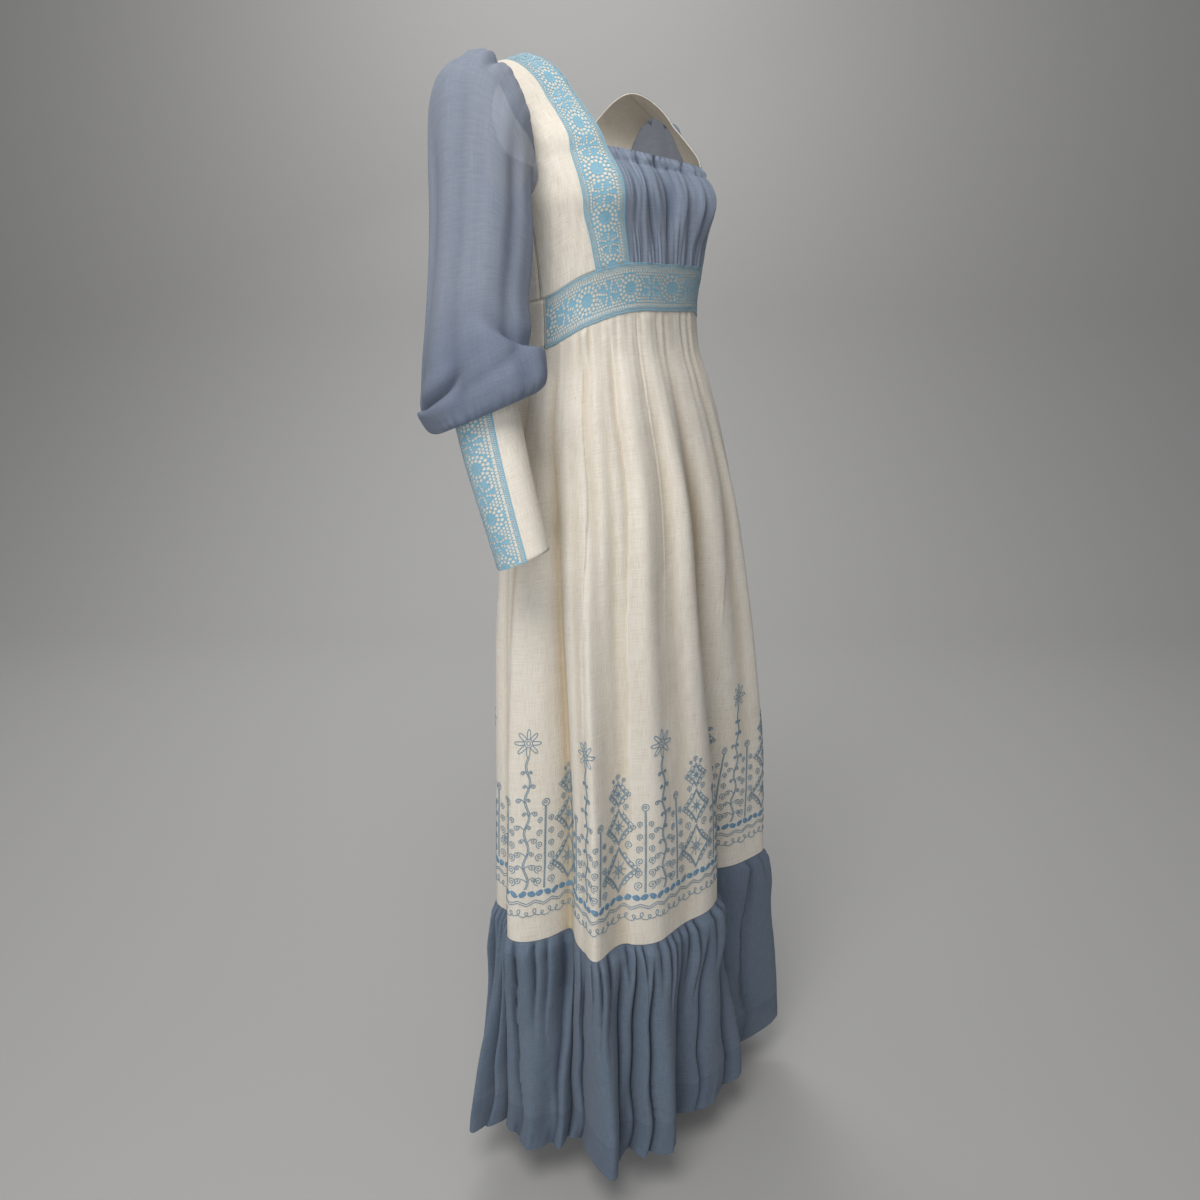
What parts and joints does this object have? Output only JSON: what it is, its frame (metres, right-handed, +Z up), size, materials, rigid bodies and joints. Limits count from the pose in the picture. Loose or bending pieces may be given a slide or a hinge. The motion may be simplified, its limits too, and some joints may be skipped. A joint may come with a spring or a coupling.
{
  "type": "maxi dress",
  "caption": "Long empire-line dress in the hollow form it has when worn, with lace-trimmed bodice, full gathered sleeves on fitted cuffs, a gathered skirt and a deep hem ruffle.",
  "frame": {"origin": "midway between the shoulders, at the height where the shoulder straps rest on the wearer", "axes": "+Z up, the wearer faces -Y, and the wearer's left is +X"},
  "size_m": [0.5374, 0.389, 1.3663],
  "materials": {
    "cream_cotton": "matte",
    "blue_voile": "matte",
    "slate_voile": "matte",
    "blue_lace": "matte"
  },
  "bodies": {
    "root": {"bodice_front_right": "cream_cotton", "bodice_back_right": "cream_cotton", "lace_strap_right": "blue_lace", "sleeve_right": "blue_voile", "cuff_right": "cream_cotton", "cuff_lace_right": "blue_lace", "bodice_front_left": "cream_cotton", "bodice_back_left": "cream_cotton", "lace_strap_left": "blue_lace", "sleeve_left": "blue_voile", "cuff_left": "cream_cotton", "cuff_lace_left": "blue_lace", "bust_inset": "blue_voile", "waistband_front": "cream_cotton", "waistband_lace": "blue_lace", "waistband_back": "cream_cotton", "skirt": "cream_cotton", "ruffle": "slate_voile", "placket": "cream_cotton"}
  },
  "joints": []
}
